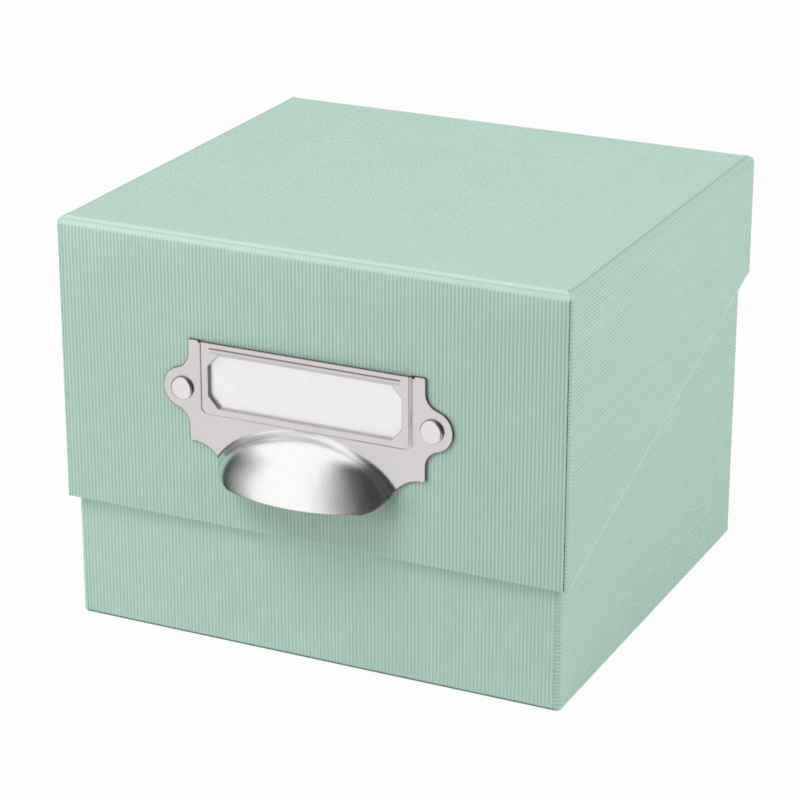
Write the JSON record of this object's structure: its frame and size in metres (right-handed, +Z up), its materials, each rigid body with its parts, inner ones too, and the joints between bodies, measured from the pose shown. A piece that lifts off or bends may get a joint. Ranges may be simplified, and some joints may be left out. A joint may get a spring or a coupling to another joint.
{
  "type": "photo box",
  "caption": "Paper-covered board box for photo prints: hinged flip-top lid with a slanted skirt and a stamped metal label frame with a finger cup.",
  "frame": {"origin": "centre of the underside of the box, on the surface that it stands on", "axes": "+Z up; -Y towards the front with the label pull; +X to the right seen from the front; the lid's hinge runs along X at the back"},
  "size_m": [0.18, 0.179, 0.141],
  "materials": {
    "ribbed_paper": "matt ribbed mint-green cover paper",
    "base_paper": "matt plain mint-green paper",
    "board": "grey board",
    "lining_paper": "matt off-white lining paper",
    "hinge_cloth": "fine bookbinder's cloth",
    "nickel": "satin nickel-plated steel",
    "card": "smooth white card, blank"
  },
  "bodies": {
    "body": {"base_board": "board", "front_wall_board": "board", "back_wall_board": "board", "left_wall_board": "board", "right_wall_board": "board", "body_cover": "ribbed_paper", "base_sheet": "base_paper", "body_lining": "lining_paper", "floor_lining": "lining_paper", "hinge_leaf_body": "hinge_cloth"},
    "lid": {"lid_top_board": "board", "lid_front_board": "board", "lid_back_board": "board", "lid_left_board": "board", "lid_right_board": "board", "lid_cover": "ribbed_paper", "lid_lining": "lining_paper", "hinge_leaf_lid": "hinge_cloth", "label_pull": "nickel", "rivets": "nickel", "rivet_washers": "nickel"},
    "card": {"label_card": "card"}
  },
  "joints": [
    {"name": "lid_hinge", "type": "hinge", "parent": "body", "child": "lid", "pos_m": [0, 0.0796, 0.0982], "axis": [-1, 0, 0], "range_deg": [0, 94]},
    {"name": "card_slide", "type": "slide", "parent": "lid", "child": "card", "axis": [0, 0, 1], "range_m": [0, 0.0245]}
  ]
}
